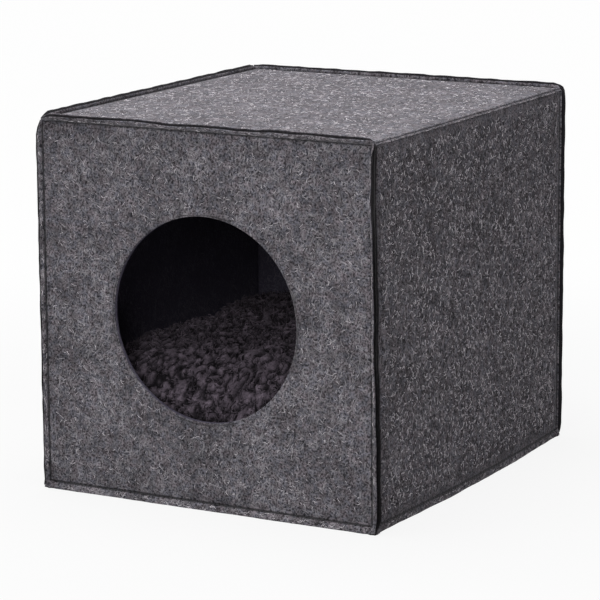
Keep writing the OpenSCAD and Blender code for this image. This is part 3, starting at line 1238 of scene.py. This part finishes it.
@material
def woven_base(tree):
    """Threads that cross, the lower one dark with painted shade."""
    where = on_piece(tree)
    weave = 1.0
    for lay in weave_lays:
        laid = place(tree, "VectorMath", {0: where, 1: lay}, operation="MULTIPLY").outputs[0]
        sockets = {"Vector": laid, "Scale": wave_apart / weave_apart, "Distortion": 0.4, "Detail": 1.0}
        thread = place(tree, "TexWave", sockets, wave_type="BANDS", bands_direction="DIAGONAL")
        weave = sums(tree, "MINIMUM", thread.outputs[1], weave)
    return {
        "Base Color": mixed(tree, weave, base_under_shade, base_pale),
        "Roughness": ranged(tree, weave, 0.0, 1.0, 0.95, 0.8),
        "Normal": bumped(tree, weave, 0.5, 0.0003),
    }


base = put_in("cushion_underside", cut_skin)
cut = bmesh.new()
cut.from_mesh(cut_skin)
bmesh.ops.bisect_plane(
    cut,
    geom=cut.verts[:] + cut.edges[:] + cut.faces[:],
    plane_co=(0, 0, pillow_seam),
    plane_no=(0, 0, 1),
    clear_outer=True,
)
cut.to_mesh(cut_skin)
cut.free()
thicken = base.modifiers.new("cloth", "SOLIDIFY")
thicken.thickness = base_thick
thicken.offset = -1
keep_shape(base)
base.data.materials.clear()
base.data.materials.append(woven_base)
shade_smooth(base)
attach(base, "cushion")
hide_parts("cushion_base")


# Floor and backdrop. One pale level sheet on which the cube stands. It keeps the cube's shadow, and looks
# white to the camera by its own glow.
floor_half = 8.0
floor_grey = (0.5, 0.5, 0.5, 1)
white = (1, 1, 1, 1)
# The share of glow near the cube and far from it, and how far from its middle these two lie
glow_near, glow_far = 0.88, 0.985
shadow_reach = (0.3, 1.0)


def seen_straight(tree):
    """1 for what the camera, a gloss or a clear piece sees, and 0 for the light that falls on the cube."""
    path = place(tree, "LightPath", {}).outputs
    seen = sums(tree, "MAXIMUM", path["Is Camera Ray"], path["Is Glossy Ray"])
    return sums(tree, "MAXIMUM", seen, path["Is Transmission Ray"])


@material
def studio_floor(tree):
    """Plain grey that catches the shadow, mixed with a white glow."""
    glow = place(tree, "Emission", {"Color": white, "Strength": 1.0}).outputs[0]
    away = place(tree, "VectorMath", {0: on_piece(tree)}, operation="LENGTH").outputs[1]
    share = ranged(tree, away, *shadow_reach, glow_near, glow_far)
    share = sums(tree, "MULTIPLY", seen_straight(tree), share)
    plain = tree.nodes["Principled BSDF"].outputs[0]
    both = place(tree, "MixShader", {0: share, 1: plain, 2: glow}).outputs[0]
    feed(tree, tree.nodes["Material Output"], {"Surface": both})
    return {"Base Color": floor_grey, "Roughness": 0.9}


corners = [(x * floor_half, y * floor_half, 0) for x, y in ((-1, -1), (1, -1), (1, 1), (-1, 1))]
floor = new_piece("studio_floor", corners, [(0, 1, 2, 3)], studio_floor)


# Studio light. A broad soft lamp above, a soft one from the front right, and a dim even room with a faint
# tint, which the camera sees as white.
room_tint = (1.0, 0.94, 1.0, 1)
room_strength = 0.19


def soft_lamp(name, place_at, size, watts):
    """A square lamp that shines on the cube."""
    lamp = bpy.data.lights.new(name, "AREA")
    lamp.shape = "SQUARE"
    lamp.size = size
    lamp.energy = watts
    made = put_in(name, lamp)
    made.location = place_at
    made.rotation_euler = (middle - Vector(place_at)).to_track_quat("-Z", "Y").to_euler()


soft_lamp("lamp_above", (-0.2, -0.1, 1.9), 1.2, 42)
soft_lamp("lamp_front", (0.6, -2.35, 1.1), 1.2, 35)
room = bpy.data.worlds.new("studio_room")
room.use_nodes = True
bpy.context.scene.world = room
tree = room.node_tree
dim = tree.nodes["Background"]
feed(tree, dim, {"Color": room_tint, "Strength": room_strength})
plain = place(tree, "Background", {"Color": white, "Strength": 1.0})
both = place(tree, "MixShader", {0: seen_straight(tree), 1: dim.outputs[0], 2: plain.outputs[0]})
feed(tree, tree.nodes["World Output"], {"Surface": both.outputs[0]})


# Camera. A long lens a little above the cube, looking at its front and right side. Its turn, rise, distance
# and aim are those of the photograph.
camera_turn = math.radians(28.8)
camera_rise = math.radians(11.74)
camera_roll = math.radians(-0.34)
camera_far = 2.6
camera_aim = Vector((0.0049, -0.0272, 0.153))
lens = bpy.data.cameras.new("camera")
lens.sensor_width = 36
lens.lens = 177.1
camera = put_in("camera", lens)
toward_camera = Vector((
    math.sin(camera_turn) * math.cos(camera_rise),
    -math.cos(camera_turn) * math.cos(camera_rise),
    math.sin(camera_rise),
))
camera.location = camera_aim + toward_camera * camera_far
camera.rotation_euler = (
    (-toward_camera).to_track_quat("-Z", "Y") @ Quaternion((0, 0, 1), camera_roll)
).to_euler()
bpy.context.scene.camera = camera
bpy.context.scene.view_settings.view_transform = "Standard"
